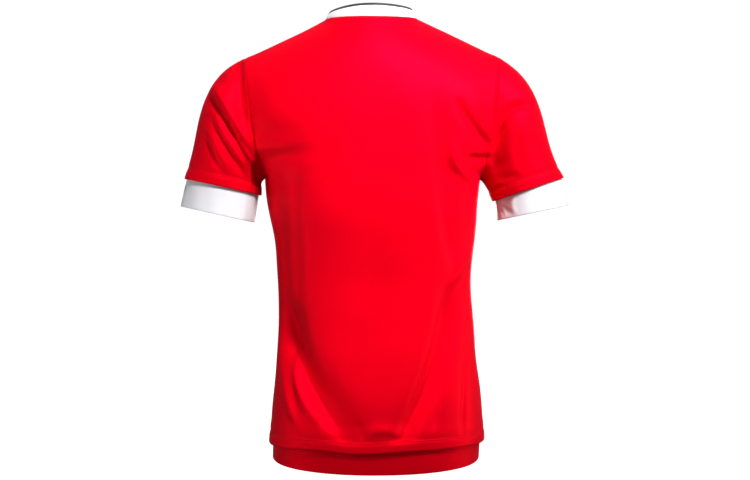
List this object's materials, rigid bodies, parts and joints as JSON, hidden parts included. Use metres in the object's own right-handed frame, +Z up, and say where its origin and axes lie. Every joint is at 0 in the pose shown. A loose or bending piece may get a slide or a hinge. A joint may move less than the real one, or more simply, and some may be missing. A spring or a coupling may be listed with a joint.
{
  "type": "football jersey",
  "caption": "Short-sleeved crew neck football jersey in red with white collar and cuffs, hollow, in its worn shape.",
  "frame": {"origin": "between the shoulders, level with the back of the neckline, where the wearer's shoulders hold the jersey up", "axes": "+Z up, +X towards the wearer's left, -Y out of the chest"},
  "size_m": [0.593, 0.2518, 0.7035],
  "materials": {
    "body_cloth": "fine knitted polyester, slightly shiny",
    "cuff_cloth": "fine knitted polyester, slightly shiny",
    "collar_rib": "ribbed knit, matte, with a black top edge"
  },
  "bodies": {
    "root": {"back": "body_cloth", "front": "body_cloth", "sleeve_left": "body_cloth", "sleeve_right": "body_cloth", "hem_band": "body_cloth", "cuff_left": "cuff_cloth", "cuff_right": "cuff_cloth", "collar": "collar_rib"}
  },
  "joints": []
}
